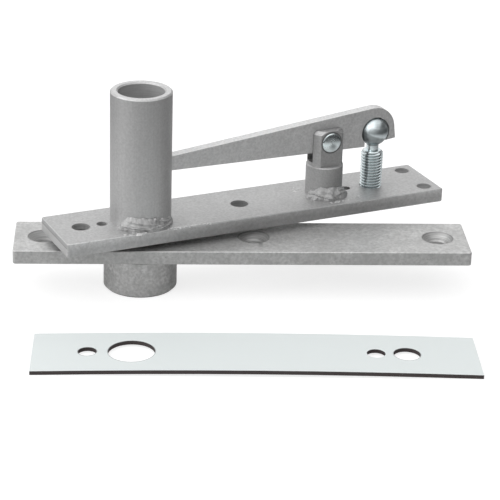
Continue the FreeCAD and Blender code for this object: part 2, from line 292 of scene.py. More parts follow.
class Nodes:
    """Adds shader nodes to a tree. Any input may be given as a link or as a plain value."""

    def __init__(self, tree):
        self.tree = tree

    def link(self, value, socket):
        if isinstance(value, bpy.types.NodeSocket):
            self.tree.links.new(value, socket)
        elif value is not None:
            socket.default_value = value

    def add(self, kind, **settings):
        """A setting names an input of the new node, or else a property of it."""
        node = self.tree.nodes.new("ShaderNode" + kind)
        for name, value in settings.items():
            title = name.replace("_", " ")
            found = [socket for socket in node.inputs if title in (socket.name, socket.identifier)]
            if found:
                self.link(value, found[0])
            else:
                setattr(node, name, value)
        return node

    def place(self):
        return self.add("TexCoord").outputs["Object"]

    def normal(self):
        return self.add("TexCoord").outputs["Normal"]

    def split(self, vector):
        """The X, Y and Z of a vector."""
        return self.add("SeparateXYZ", Vector=vector).outputs

    def math(self, operation, first, second=None, clamp=False):
        node = self.add("Math", operation=operation, use_clamp=clamp)
        self.link(first, node.inputs[0])
        self.link(second, node.inputs[1])
        return node.outputs[0]

    def times(self, first, second):
        return self.math("MULTIPLY", first, second)

    def plus(self, first, second):
        return self.math("ADD", first, second)

    def apart(self, first, second):
        """How far apart two numbers are."""
        return self.math("ABSOLUTE", self.math("SUBTRACT", first, second))

    def vector(self, operation, first, second=None):
        """Gives back a length or a dot product as a number, and anything else as a vector."""
        node = self.add("VectorMath", operation=operation)
        self.link(first, node.inputs[0])
        self.link(second, node.inputs[1])
        return node.outputs["Value" if operation in ("LENGTH", "DOT_PRODUCT") else "Vector"]

    def remap(self, value, low, high, to_low=0.0, to_high=1.0):
        """A clamped Map Range node."""
        node = self.add("MapRange", Value=value, From_Min=low, From_Max=high, To_Min=to_low, To_Max=to_high)
        return node.outputs["Result"]

    def noise(self, vector, scale, detail, roughness=0.5):
        node = self.add("TexNoise", Vector=vector, Scale=scale, Detail=detail, Roughness=roughness)
        return node.outputs["Fac"]

    def mix(self, factor, first, second):
        """Mixes two colours."""
        node = self.add("Mix", data_type="RGBA", clamp_factor=True)
        self.link(factor, node.inputs[0])
        for socket, value in ((node.inputs[6], first), (node.inputs[7], second)):
            self.link(value if isinstance(value, bpy.types.NodeSocket) else (*value, 1.0), socket)
        return node.outputs[2]

    def group(self, name, **values):
        """Places a shared group, making it the first time."""
        node = self.add("Group", node_tree=bpy.data.node_groups.get(name) or GROUPS[name]())
        for title, value in values.items():
            self.link(value, node.inputs[title.replace("_", " ")])
        return node.outputs

    def ring_mask(self, centre, turn, radius, width):
        """Mask of a thin line about an axis through centre, turned from the part's Z by turn."""
        turned = self.add("Mapping", vector_type="TEXTURE", Vector=self.place(), Location=centre,
                          Rotation=turn)
        return self.group("Ring", Place=turned.outputs["Vector"], Radius=radius, Width=width)["Mask"]


def new_group(name, inputs, *outputs):
    """A shader node group: its nodes, what is given and its result. A default that is a tuple makes
    its input a vector."""
    tree = bpy.data.node_groups.new(name, "ShaderNodeTree")
    for title, value in inputs.items():
        kind = "NodeSocketVector" if isinstance(value, tuple) else "NodeSocketFloat"
        tree.interface.new_socket(name=title, in_out="INPUT", socket_type=kind).default_value = value
    for title in outputs:
        kind = "NodeSocketVector" if title == "Normal" else "NodeSocketFloat"
        tree.interface.new_socket(name=title, in_out="OUTPUT", socket_type=kind)
    return Nodes(tree), tree.nodes.new("NodeGroupInput").outputs, tree.nodes.new("NodeGroupOutput").inputs


def mottle_group():
    """Cloudy tone from rolling and tumbling, and a fine grain over it."""
    nodes, given, result = new_group("Mottle", {"Cloud size": 0.012, "Grain size": 0.0006, "Contrast": 1.0},
                                     "Tone", "Grain")
    place = nodes.place()
    cloud = nodes.noise(place, nodes.math("DIVIDE", 1.0, given["Cloud size"]), 5.0, 0.6)
    grain = nodes.noise(place, nodes.math("DIVIDE", 1.0, given["Grain size"]), 3.0, 0.55)
    scaled = nodes.times(nodes.math("SUBTRACT", cloud, 0.5), given["Contrast"])
    nodes.link(nodes.math("ADD", scaled, 0.5, clamp=True), result["Tone"])
    nodes.link(grain, result["Grain"])
    return nodes.tree


def rim_group():
    """Patchy mask of the broken edges, found by a slope that is between a countersink's and level."""
    nodes, given, result = new_group("Rim", {"Steep": 0.69, "Level": 0.98, "Wear size": 0.0015},
                                     "Mask", "Band", "Top")
    upward = nodes.split(nodes.normal())["Z"]
    rise = nodes.math("ABSOLUTE", upward)
    nearer = nodes.math("MINIMUM", nodes.math("SUBTRACT", rise, given["Steep"]),
                        nodes.math("SUBTRACT", given["Level"], rise))
    band = nodes.math("MULTIPLY", nearer, MASK_SHARPNESS, clamp=True)
    wear = nodes.noise(nodes.place(), nodes.math("DIVIDE", 1.0, given["Wear size"]), 2.0)
    nodes.link(nodes.math("MULTIPLY", band, nodes.remap(wear, 0.35, 0.6), clamp=True), result["Mask"])
    nodes.link(band, result["Band"])
    nodes.link(nodes.remap(upward, 0.97, 0.99), result["Top"])
    return nodes.tree


def streak_group():
    """Fine lines drawn along the part's Z."""
    nodes, given, result = new_group("Streaks", {"Line width": 0.0006, "Line length": 0.03}, "Lines")
    parts = nodes.split(nodes.place())
    across_x = nodes.math("DIVIDE", parts["X"], given["Line width"])
    across_y = nodes.math("DIVIDE", parts["Y"], given["Line width"])
    along = nodes.math("DIVIDE", parts["Z"], given["Line length"])
    stretched = nodes.add("CombineXYZ", X=across_x, Y=across_y, Z=along)
    nodes.link(nodes.noise(stretched.outputs["Vector"], 1.0, 3.0), result["Lines"])
    return nodes.tree


def pit_group():
    """Scattered dark specks."""
    nodes, given, result = new_group("Pits", {"Spacing": 0.0025, "Size": 0.12}, "Mask")
    scale = nodes.math("DIVIDE", 1.0, given["Spacing"])
    cells = nodes.add("TexVoronoi", Vector=nodes.place(), Scale=scale)
    near = nodes.math("SUBTRACT", given["Size"], cells.outputs["Distance"])
    nodes.link(nodes.math("MULTIPLY", near, MASK_SHARPNESS, clamp=True), result["Mask"])
    return nodes.tree


def ring_group():
    """Thin line round a hole or a head. Place is a position with the hole's axis as its Z."""
    nodes, given, result = new_group(
        "Ring", {"Place": (0.0, 0.0, 0.0), "Radius": 0.005, "Width": 0.0003}, "Mask")
    distance = nodes.vector("LENGTH", nodes.vector("MULTIPLY", given["Place"], (1, 1, 0)))
    share = nodes.math("DIVIDE", nodes.apart(distance, given["Radius"]), given["Width"])
    nodes.link(nodes.math("SUBTRACT", 1.4, share, clamp=True), result["Mask"])
    return nodes.tree


def bored_group():
    """Turned hole along Z: its inside, the dark line of its edge, and the tool's rings."""
    nodes, given, result = new_group(
        "Bored hole", {"Place": (0.0, 0.0, 0.0), "Radius": 0.006, "Ring pitch": 0.0005},
        "Inside", "Edge", "Rings")
    distance = nodes.vector("LENGTH", nodes.vector("MULTIPLY", given["Place"], (1, 1, 0)))
    short = nodes.math("SUBTRACT", given["Radius"], distance)
    nodes.link(nodes.math("MULTIPLY", short, 8000.0, clamp=True), result["Inside"])
    offset = nodes.times(nodes.math("ABSOLUTE", short), 4000.0)
    nodes.link(nodes.math("SUBTRACT", 1.5, offset, clamp=True), result["Edge"])
    parts = nodes.split(given["Place"])
    depth = nodes.plus(distance, nodes.times(parts["Z"], 1.7))
    turns = nodes.math("DIVIDE", depth, given["Ring pitch"])
    around = [nodes.times(parts[axis], 120.0) for axis in "XY"]
    wound = nodes.add("CombineXYZ", X=turns, Y=around[0], Z=around[1])
    rings = nodes.noise(wound.outputs["Vector"], 1.0, 2.0)
    nodes.link(nodes.remap(rings, 0.3, 0.7), result["Rings"])
    return nodes.tree


def turned_group():
    """Fine grooves turned about the part's Y through a centre, as a normal that tips along the radius."""
    nodes, given, result = new_group(
        "Turned face", {"Centre": (0.0, 0.0, 0.0), "Pitch": 0.00013, "Tip": 0.1}, "Normal")
    offset = nodes.vector("SUBTRACT", nodes.place(), given["Centre"])
    radial = nodes.vector("MULTIPLY", offset, (1, 0, 1))
    turns = nodes.math("DIVIDE", nodes.vector("LENGTH", radial), given["Pitch"])
    groove = nodes.math("SINE", nodes.times(turns, FULL_TURN))
    tip = nodes.add("VectorMath", operation="SCALE", Vector=nodes.vector("NORMALIZE", radial),
                    Scale=nodes.times(groove, given["Tip"]))
    tipped = nodes.vector("ADD", nodes.add("NewGeometry").outputs["Normal"], tip.outputs["Vector"])
    nodes.link(nodes.vector("NORMALIZE", tipped), result["Normal"])
    return nodes.tree


def side_group():
    """Masks on the sides that look along Y: between two places along X, and towards the top."""
    nodes, given, result = new_group("Long side", {"Near": 0.0, "Far": 0.1, "Top": 0.0, "Depth": 0.003},
                                     "Between", "Upper")
    facing = nodes.math("ABSOLUTE", nodes.split(nodes.normal())["Y"])
    on_side = nodes.remap(facing, 0.6, 0.9)
    parts = nodes.split(nodes.place())
    ease = 30 * MM
    past_near = nodes.remap(parts["X"], nodes.math("SUBTRACT", given["Near"], ease), given["Near"])
    short_of_far = nodes.remap(parts["X"], given["Far"], nodes.plus(given["Far"], ease), 1.0, 0.0)
    nodes.link(nodes.times(nodes.times(past_near, short_of_far), on_side), result["Between"])
    upper = nodes.remap(parts["Z"], nodes.math("SUBTRACT", given["Top"], given["Depth"]), given["Top"])
    nodes.link(nodes.times(upper, on_side), result["Upper"])
    return nodes.tree


GROUPS = {"Mottle": mottle_group, "Rim": rim_group, "Streaks": streak_group, "Pits": pit_group,
          "Ring": ring_group, "Bored hole": bored_group, "Turned face": turned_group,
          "Long side": side_group}


def new_material(name, metallic=0.0, roughness=0.5):
    """A material, its nodes and the inputs of its surface."""
    material = bpy.data.materials.new(name)
    material.use_nodes = True
    surface = material.node_tree.nodes["Principled BSDF"].inputs
    surface["Metallic"].default_value = metallic
    surface["Roughness"].default_value = roughness
    return material, Nodes(material.node_tree), surface


class Steel:
    """A grey steel finish made of the shared groups. Each mark is laid over those before it."""

    def __init__(self, name, colour, metallic=0.85, roughness=0.5, cloud=0.012, grain=0.0006, contrast=1.2,
                 spread=0.10, speckle=0.2, bump=0.00005, lines=0.0, pits=0.0):
        self.material, self.nodes, self.surface = new_material(name, metallic)
        self.colour = colour
        self.metallic = metallic
        self.dull = None
        nodes = self.nodes
        mottle = nodes.group("Mottle", Cloud_size=cloud, Grain_size=grain, Contrast=contrast)
        tone = mottle["Tone"]
        if lines:
            drawn = nodes.times(nodes.group("Streaks")["Lines"], lines)
            tone = nodes.math("ADD", drawn, nodes.times(tone, 1.0 - lines), clamp=True)
        self.base = nodes.mix(tone, shade(colour, 1.0 - spread), shade(colour, 1.0 + spread))
        self.fine = nodes.remap(mottle["Grain"], 0.3, 0.7)
        self.mark(nodes.times(self.fine, speckle), 0.7)
        if pits:
            self.mark(nodes.times(nodes.group("Pits")["Mask"], pits), 0.4)
        nodes.link(nodes.remap(tone, 0.0, 1.0, roughness + 0.06, roughness - 0.06), self.surface["Roughness"])
        relief = nodes.add("Bump", Height=mottle["Grain"], Strength=1.0, Distance=bump)
        nodes.link(relief.outputs["Normal"], self.surface["Normal"])

    def mark(self, mask, share):
        """Lays a tone over the finish, as a share of the steel's own colour."""
        self.base = self.nodes.mix(mask, self.base, shade(self.colour, share))

    def scale_tone(self, mask, share):
        """Multiplies the finish so far by a share."""
        scaled = self.nodes.vector("MULTIPLY", self.base, grey(share))
        self.base = self.nodes.mix(mask, self.base, scaled)

    def along(self, axis):
        return self.nodes.split(self.nodes.place())[axis]

    def edge_wear_and_painted_light(self, share, pale=grey(0.8), top=1.0, fade=None):
        """Paints the broken edges pale, partly as wear and partly as a painted highlight, and scales the tone
        of the top faces by top, a painted light where it is over 1. A fade is where along X the pale edges
        start to go and where they end, and the share of the steel's colour that comes instead on the edge
        band, a painted shade that takes the edge's highlight away."""
        nodes = self.nodes
        edge = nodes.group("Rim")
        wear_and_highlight = nodes.times(edge["Mask"], share)
        if fade is not None:
            start, end, dark = fade
            along = self.along("X")
            wear_and_highlight = nodes.times(wear_and_highlight, nodes.remap(along, start, end, 1.0, 0.0))
            edge_shade = nodes.times(edge["Band"], nodes.remap(along, start, end))
            # Painted shade on the edge band past the fade.
            self.mark(nodes.times(edge_shade, 0.9), dark)
        if top != 1.0:
            # Painted light: top faces paler where top is over 1.
            self.mark(nodes.times(edge["Top"], nodes.remap(self.fine, 0.0, 1.0, 1.0, 0.4)), top)
        # Pale edges: partly wear, partly a painted highlight.
        self.base = nodes.mix(wear_and_highlight, self.base, pale)

    def paint_flank_shade(self, near, far, share):
        """Scales the tone of the long sides between two places along X, a painted shade where the share is
        under 1.
        """
        self.scale_tone(self.nodes.group("Long side", Near=near, Far=far)["Between"], share)

    def paint_brow_light(self, top, depth, share):
        """Scales the tone of the long sides' upper part, most at the top: a painted light that makes them
        paler towards the top.
        """
        self.scale_tone(self.nodes.group("Long side", Top=top, Depth=depth)["Upper"], share)

    def shear_ends(self, line_height):
        """Ends cut in a shear: darker above the line where the steel broke, and paler below it."""
        nodes = self.nodes
        height = self.along("Z")
        sideways = nodes.math("ABSOLUTE", nodes.split(nodes.normal())["X"])
        flat_end = nodes.remap(sideways, 0.8, 0.95)
        low, high = line_height - 0.2 * MM, line_height + 0.2 * MM
        above = nodes.remap(height, low, high, 0.0, 0.6)
        self.mark(nodes.times(nodes.remap(sideways, 0.15, 0.4), above), 0.85)
        self.mark(nodes.times(flat_end, nodes.remap(height, low, high, 0.6, 0.0)), 1.2)
        line = nodes.remap(nodes.apart(height, line_height), 0.1 * MM, 0.4 * MM, 0.8, 0.0)
        self.mark(nodes.times(flat_end, line), 0.6)

    def seam(self, height, width, share):
        """Painted shade: a dark line round the part at a height, where it meets another part or the floor."""
        offset = self.nodes.apart(self.along("Z"), height)
        self.mark(self.nodes.remap(offset, 0.3 * width, width, share, 0.0), 0.3)

    def bore_with_painted_light(self, centre, radius, dark, pale, dull, line):
        """Turned hole with rings from dark to pale: the rings are turning marks, and their dark and pale
        levels are painted light and shade inside the hole. Dull takes away its shine, and line is the
        strength of a painted shade line round its edge.
        """
        nodes = self.nodes
        moved = nodes.vector("SUBTRACT", nodes.place(), centre)
        bored = nodes.group("Bored hole", Place=moved, Radius=radius)
        rings = nodes.mix(bored["Rings"], shade(self.colour, dark), shade(self.colour, pale))
        self.base = nodes.mix(bored["Inside"], self.base, rings)
        self.mark(nodes.times(bored["Edge"], line), 0.3)
        share = nodes.times(bored["Inside"], dull)
        self.dull = share if self.dull is None else nodes.math("MAXIMUM", self.dull, share)

    def stain(self, start, turn):
        """Dark run on the plate's top that ends at start, along Y of axes turned by turn."""
        nodes = self.nodes
        turned = nodes.add("VectorRotate", rotation_type="Z_AXIS", Vector=nodes.place(), Angle=-turn)
        parts = nodes.split(nodes.vector("SUBTRACT", turned.outputs["Vector"], start))
        beside = nodes.remap(nodes.math("ABSOLUTE", parts["X"]), 0.4 * MM, 1.2 * MM, 1.0, 0.0)
        run = nodes.times(beside, nodes.remap(parts["Y"], -5.5 * MM, -1.0 * MM, 0.0, 0.8))
        self.mark(nodes.times(run, nodes.remap(parts["Y"], 0.0, 0.5 * MM, 1.0, 0.0)), 0.4)

    def paint_head_shadow(self, centre, radius):
        """Painted shadow: a dark line round a head that stands on a face square to Y, where the head's shade
        falls.
        """
        ring = self.nodes.ring_mask(centre, (math.pi / 2, 0, 0), radius, 0.35 * MM)
        self.mark(self.nodes.times(ring, 0.75), 0.2)

    def finished(self):
        self.nodes.link(self.base, self.surface["Base Color"])
        if self.dull is not None:
            shine = self.nodes.remap(self.dull, 0.0, 1.0, self.metallic, 0.0)
            self.nodes.link(shine, self.surface["Metallic"])
        return self.material


def dress(node, material):
    """Gives a carried-over CAD node its finish."""
    for material_slot in frame["nodes"][node].material_slots:
        material_slot.material = material


# Operators


class HINGE_OT_plates(bpy.types.Operator):
    """Finish the frame plate and the door plate"""

    bl_idname = "hinge.plates"
    bl_label = "Plates"

    def execute(self, context):
        tones = finishes()
        size = sizes()
        bar = Steel("Tumbled bar", tones.frame_steel, grain=0.0011, speckle=0.7, pits=0.3)
        # Pale edges, partly wear and partly a painted highlight, with painted shade on the edge band from X =
        # 0 on.
        bar.edge_wear_and_painted_light(0.7, pale=grey(0.95), fade=(-12 * MM, 0.0, 0.5))
        # Painted shade: the middle of the long sides darker.
        bar.paint_flank_shade(near=10 * MM, far=85 * MM, share=0.78)
        # Painted light: the long sides paler towards the top.
        bar.paint_brow_light(PLATE_TOP, depth=3.2 * MM, share=1.38)
        bar.shear_ends(PLATE_TOP - size.cut_depth)
        # Painted light inside the tapped hole, and painted shade on its edge.
        bar.bore_with_painted_light((size.cover_tap, 0, 0), size.cover_tap_radius, dark=1.1, pale=1.6, dull=1.0, line=0.7)
        # Painted shade inside the large screw holes and the end screw holes.
        for place in size.frame_screws:
            bar.bore_with_painted_light((place, 0, 0), size.frame_screw_radius, dark=0.5, pale=0.8, dull=0.9, line=0.2)
        along, aside = size.end_screws
        for place in ((along, -aside, 0), (along, aside, 0)):
            bar.bore_with_painted_light(place, size.end_screw_radius, dark=0.6, pale=1.0, dull=1.0, line=0.2)
        dress("frame_plate", bar.finished())

        door = Steel("Mottled bar", tones.door_steel, cloud=0.009, contrast=1.9, spread=0.16, grain=0.0013,
                     speckle=0.9, bump=0.00009, pits=0.5)
        # Pale edges, partly wear and partly a painted highlight.
        door.edge_wear_and_painted_light(0.4)
        # Painted shade: the door plate's long sides darker.
        door.paint_flank_shade(near=-50 * MM, far=150 * MM, share=0.87)
        for along in size.door_sinks:
            centre = (along * math.cos(size.door_turn), along * math.sin(size.door_turn), 0)
            # Painted shade inside the countersinks; the one under the frame plate is darker and duller than
            # the others.
            pale, dull = (0.75, 0.9) if along < 0 else (0.95, 0.3)
            door.bore_with_painted_light(centre, size.door_sink_radius, dark=0.45, pale=pale, dull=dull, line=0.7)
        door.stain((*size.door_stain, 0), size.door_turn)
        dress("door_plate", door.finished())
        return {"FINISHED"}


class HINGE_OT_tube(bpy.types.Operator):
    """Finish the guide tube and the pivot pin in it"""

    bl_idname = "hinge.tube"
    bl_label = "Guide tube and pin"

    def execute(self, context):
        tones = finishes()
        tube = Steel("Satin tube", tones.tube_steel, lines=0.6, spread=0.14, grain=0.0009, speckle=0.5)
        # Pale edges, partly wear and partly a painted highlight, and the top face painted paler as painted
        # light.
        tube.edge_wear_and_painted_light(0.6, top=1.25)
        # Painted shade and light inside the tube's bore.
        tube.bore_with_painted_light((0, 0, 0), sizes().tube_bore_radius, dark=0.6, pale=0.8, dull=1.0, line=0.0)
        dress("tube_housing", tube.finished())
        pin = Steel("Ground pin", tones.pin_steel, metallic=1.0, roughness=0.3, spread=0.05)
        dress("pivot_pin", pin.finished())
        return {"FINISHED"}


class HINGE_OT_beam(bpy.types.Operator):
    """Finish the walking beam and the forked post"""

    bl_idname = "hinge.beam"
    bl_label = "Walking beam and post"

    def execute(self, context):
        tones = finishes()
        beam = Steel("Tumbled beam", tones.beam_steel, spread=0.07, grain=0.0009, speckle=0.7)
        # Pale edges, partly wear and partly a painted highlight.
        beam.edge_wear_and_painted_light(0.5)
        dress("walking_beam", beam.finished())
        post = Steel("Turned post", tones.post_steel, spread=0.07, grain=0.0008, speckle=0.7)
        # Painted shadow round the rivet's head.
        post.paint_head_shadow((RIVET_X, 0, RIVET_Z), RIVET_HEAD_RADIUS + 0.3 * MM)
        dress("clevis_post", post.finished())
        return {"FINISHED"}


class HINGE_OT_bearing(bpy.types.Operator):
    """Finish the bearing cup and its bush"""

    bl_idname = "hinge.bearing"
    bl_label = "Bearing"

    def execute(self, context):
        tones = finishes()
        cup = Steel("Speckled cup", shade(tones.door_steel, 0.93), cloud=0.004, contrast=2.4, spread=0.2,
                    grain=0.0012, speckle=1.0, bump=0.00012, pits=0.6)
        # Painted contact shade under the door plate and along the bottom edge.
        cup.seam(low_corner("door_plate").z, width=0.5 * MM, share=0.7)
        cup.seam(FLOOR, width=0.5 * MM, share=0.6)
        dress("bearing_cup", cup.finished())
        bush = Steel("Bearing bronze", tones.bronze, metallic=1.0, roughness=0.35)
        dress("bearing_bush", bush.finished())
        return {"FINISHED"}


class HINGE_OT_screw(bpy.types.Operator):
    """Model the adjusting screw: thread, neck, ball and key socket"""

    bl_idname = "hinge.screw"
    bl_label = "Adjusting screw"

    def execute(self, context):
        size = sizes()
        screw = self.thread(size)
        boolean(screw, self.envelope(size), "INTERSECT")
        boolean(screw, self.ball_and_neck(size), "UNION")
        boolean(screw, self.key_socket(size), "DIFFERENCE")
        edit_mode()
        close_up()
        bpy.ops.mesh.dissolve_degenerate(threshold=0.002 * MM)
        bpy.ops.mesh.quads_convert_to_tris(quad_method="BEAUTY", ngon_method="BEAUTY")
        object_mode()
        smooth(screw)
        fit_on(screw, "adjusting_screw", "screw", self.finish())
        return {"FINISHED"}

    def thread(self, size):
        """One pitch of the thread's section, wound up by a Screw modifier and closed at both ends."""
        low = low_corner("adjusting_screw").z
        high = PLATE_TOP + size.shoulder_rise
        pitch = size.thread_pitch
        outer = size.thread_radius
        root = outer - size.thread_depth
        blunt = outer - 0.05 * MM
        section = [(root, 0.0), (root, 0.14), (blunt, 0.4), (outer, 0.43), (outer, 0.59), (blunt, 0.62),
                   (root, 0.88), (root, 1.0)]
        start = low - 2 * pitch
        screw = draw("adjusting_screw_thread", [(radius, 0, share * pitch) for radius, share in section])
        object_mode()
        winding = screw.modifiers.new("Thread", "SCREW")
        winding.axis = "Z"
        winding.screw_offset = pitch
        winding.iterations = math.ceil((high - start) / pitch) + 2
        winding.steps = winding.render_steps = 64
        winding.use_smooth_shade = False
        select_only(screw)
        bpy.ops.object.modifier_apply(modifier=winding.name)
        screw.location = (SCREW_X, 0, start)
        bpy.ops.object.transform_apply(location=True, rotation=False, scale=False)
        edit_mode()
        close_up()
        # The cuts lie between rows of the thread's points, so that they meet none of them.
        beyond = 0.517 * pitch
        for height, inner in ((low - beyond, True), (high + beyond, False)):
            bpy.ops.mesh.select_all(action="SELECT")
            bpy.ops.mesh.bisect(plane_co=(SCREW_X, 0, height), plane_no=(0, 0, 1), use_fill=True,
                                clear_inner=inner, clear_outer=not inner, threshold=MERGE_DISTANCE)
        close_up()
        object_mode()
        return screw

    def envelope(self, size):
        """Chamfered bar that the thread is cut in."""
        low = low_corner("adjusting_screw").z
        high = PLATE_TOP + size.shoulder_rise
        chamfer = size.shoulder_chamfer
        outer = size.thread_radius + 0.01 * MM
        profile = [(0, low), (outer - chamfer / 2, low), (outer, low + chamfer / 2), (outer, high - chamfer),
                   (outer - chamfer, high), (0, high)]
        return lathe("screw_bar", profile, (SCREW_X, 0, 0), (0, 0, 1), steps=64)

    def ball_and_neck(self, size):
        high = PLATE_TOP + size.shoulder_rise
        ball = high_corner("adjusting_screw").z - BALL_RADIUS
        join = -math.acos(size.neck_radius / BALL_RADIUS)
        ball_arc = arc_points((0, ball), BALL_RADIUS, join, math.pi / 2, count=40)
        ball_arc[-1] = (0, ball + BALL_RADIUS)
        profile = [(0, high - 2 * MM), (size.neck_radius, high - 2 * MM), *ball_arc]
        return lathe("screw_ball", profile, (SCREW_X, 0, 0), (0, 0, 1), steps=96)

    def key_socket(self, size):
        low = low_corner("adjusting_screw").z
        select_nothing()
        bpy.ops.mesh.primitive_cylinder_add(vertices=6, radius=size.key_radius, depth=2 * size.key_depth,
                                            location=(SCREW_X, 0, low))
        return bpy.context.object

    def finish(self):
        """Bright zinc with a faint cloud, painted shade in the thread's roots, and on the ball its turning
        marks with painted reflection and shade: a dark band on its upper right, marks that darken towards the
        right, a darker left side and a darker lower part.
        """
        material, nodes, surface = new_material("Bright zinc", metallic=1.0)
        colour = finishes().zinc
        size = sizes()
        shoulder = PLATE_TOP + size.shoulder_rise - 0.1 * MM
        ball = high_corner("adjusting_screw").z - BALL_RADIUS
        cloud = nodes.group("Mottle", Cloud_size=0.003, Grain_size=0.0004, Contrast=1.0)["Tone"]
        offset = nodes.vector("SUBTRACT", nodes.place(), (SCREW_X, 0, 0))
        above_plate = nodes.split(offset)["Z"]

        distance = nodes.vector("LENGTH", nodes.vector("MULTIPLY", offset, (1, 1, 0)))
        root = size.thread_radius - size.thread_depth
        # Painted shade in the thread's roots.
        root_shade = nodes.remap(distance, root, size.thread_radius - 0.1 * MM, 0.42, 0.0)
        below = nodes.remap(above_plate, shoulder - 0.2 * MM, shoulder, 1.0, 0.0)
        grooves = nodes.times(root_shade, below)

        # Height and side are in ball radii from the ball's middle, and side runs along across, the camera's
        # sideways direction, by which the painted reflection and shade on the ball are laid out.
        across = (0.903, -0.429, 0)
        height = nodes.math("DIVIDE", nodes.math("SUBTRACT", above_plate, ball), BALL_RADIUS)
        side = nodes.math("DIVIDE", nodes.vector("DOT_PRODUCT", offset, across), BALL_RADIUS)
        on_ball = nodes.remap(height, -1.0, -0.95)
        wound = nodes.add("Mapping", vector_type="POINT", Vector=offset, Scale=(90, 90, 1300))
        marks = nodes.remap(nodes.noise(wound.outputs["Vector"], 1.0, 2.0), 0.35, 0.68, 0.5, 0.0)
        # Painted dark reflection: a band on the upper right of the ball, streaked by the marks.
        dark_reflection_zone = nodes.times(nodes.remap(height, 0.38, 0.52), nodes.remap(height, 0.84, 0.95, 1.0, 0.0))
        dark_reflection_zone = nodes.times(dark_reflection_zone, nodes.remap(side, -0.02, 0.22))
        band = nodes.times(dark_reflection_zone, nodes.remap(marks, 0.0, 0.5, 0.35, 0.6))
        # Turning marks, painted darker towards the right as part of the painted reflection.
        marks_and_dark_reflection = nodes.times(marks, nodes.remap(side, -0.5, 0.5, 0.2, 0.4))
        # Painted shade on the left of the ball.
        left = nodes.times(nodes.remap(side, -0.5, -0.12, 0.7, 0.0), on_ball)
        # Painted reflection and shade: the lower part darker, reaching higher on the left.
        leaning = nodes.plus(height, nodes.times(side, 0.35))
        underside_shade = nodes.times(nodes.remap(leaning, -0.13, -0.01, 0.68, 0.0), on_ball)

        base = nodes.mix(cloud, shade(colour, 0.94), shade(colour, 1.06))
        for mask, share in ((grooves, 0.2), (band, 0.25), (marks_and_dark_reflection, 0.4), (left, 0.45), (underside_shade, 0.25)):
            base = nodes.mix(mask, base, shade(colour, share))
        nodes.link(base, surface["Base Color"])
        polish = nodes.remap(above_plate, shoulder, ball - BALL_RADIUS, 0.16, 0.33)
        nodes.link(nodes.times(polish, nodes.remap(cloud, 0.2, 0.8, 1.1, 0.8)), surface["Roughness"])
        return material


class HINGE_OT_rivet(bpy.types.Operator):
    """Model the beam's rivet, with a turned, crowned head at each end"""

    bl_idname = "hinge.rivet"
    bl_label = "Rivet"

    def execute(self, context):
        size = sizes()
        reach = high_corner("beam_rivet").y
        head = reach - size.rivet_head_height
        side = reach - size.rivet_crown
        radius = RIVET_HEAD_RADIUS
        chamfer = size.rivet_head_chamfer
        rim = radius - chamfer
        ball = (rim ** 2 + size.rivet_crown ** 2) / (2 * size.rivet_crown)
        crown = arc_points((0, reach - ball), ball, math.acos(rim / ball), math.pi / 2, count=10)
        crown[-1] = (0, reach)
        shank = size.rivet_radius
        half = [(shank, 0), (shank, head), (radius, head), (radius, side - chamfer), *crown]
        profile = [(r, -along) for r, along in reversed(half)] + half[1:]
        rivet = lathe("beam_rivet_turned", profile, (RIVET_X, 0, RIVET_Z), (0, 1, 0), steps=72)
        smooth(rivet)
        fit_on(rivet, "beam_rivet", "frame", self.finish())
        return {"FINISHED"}

    def finish(self):
        """Bright zinc over fine grooves turned about the rivet's own axis, with a painted dark reflection
        below the middle of each head.
        """
        material, nodes, surface = new_material("Turned zinc", metallic=1.0, roughness=0.14)
        colour = finishes().zinc
        cloud = nodes.group("Mottle", Cloud_size=0.002, Grain_size=0.0003, Contrast=1.2)["Tone"]
        base = nodes.mix(cloud, shade(colour, 0.92), shade(colour, 1.1))
        # Painted dark reflection: a dark patch below the middle of each head.
        offset = nodes.vector("SUBTRACT", nodes.place(), (RIVET_X + 0.4 * MM, 0, RIVET_Z - 1.5 * MM))
        reach = nodes.vector("LENGTH", nodes.vector("MULTIPLY", offset, (1, 0, 1.3)))
        painted_dark_reflection = nodes.remap(reach, 0.5 * MM, 2.3 * MM, 0.65, 0.0)
        nodes.link(nodes.mix(painted_dark_reflection, base, shade(colour, 0.3)), surface["Base Color"])
        grooves = nodes.group("Turned face", Centre=(RIVET_X, 0, RIVET_Z), Tip=0.12)
        nodes.link(grooves["Normal"], surface["Normal"])
        return material


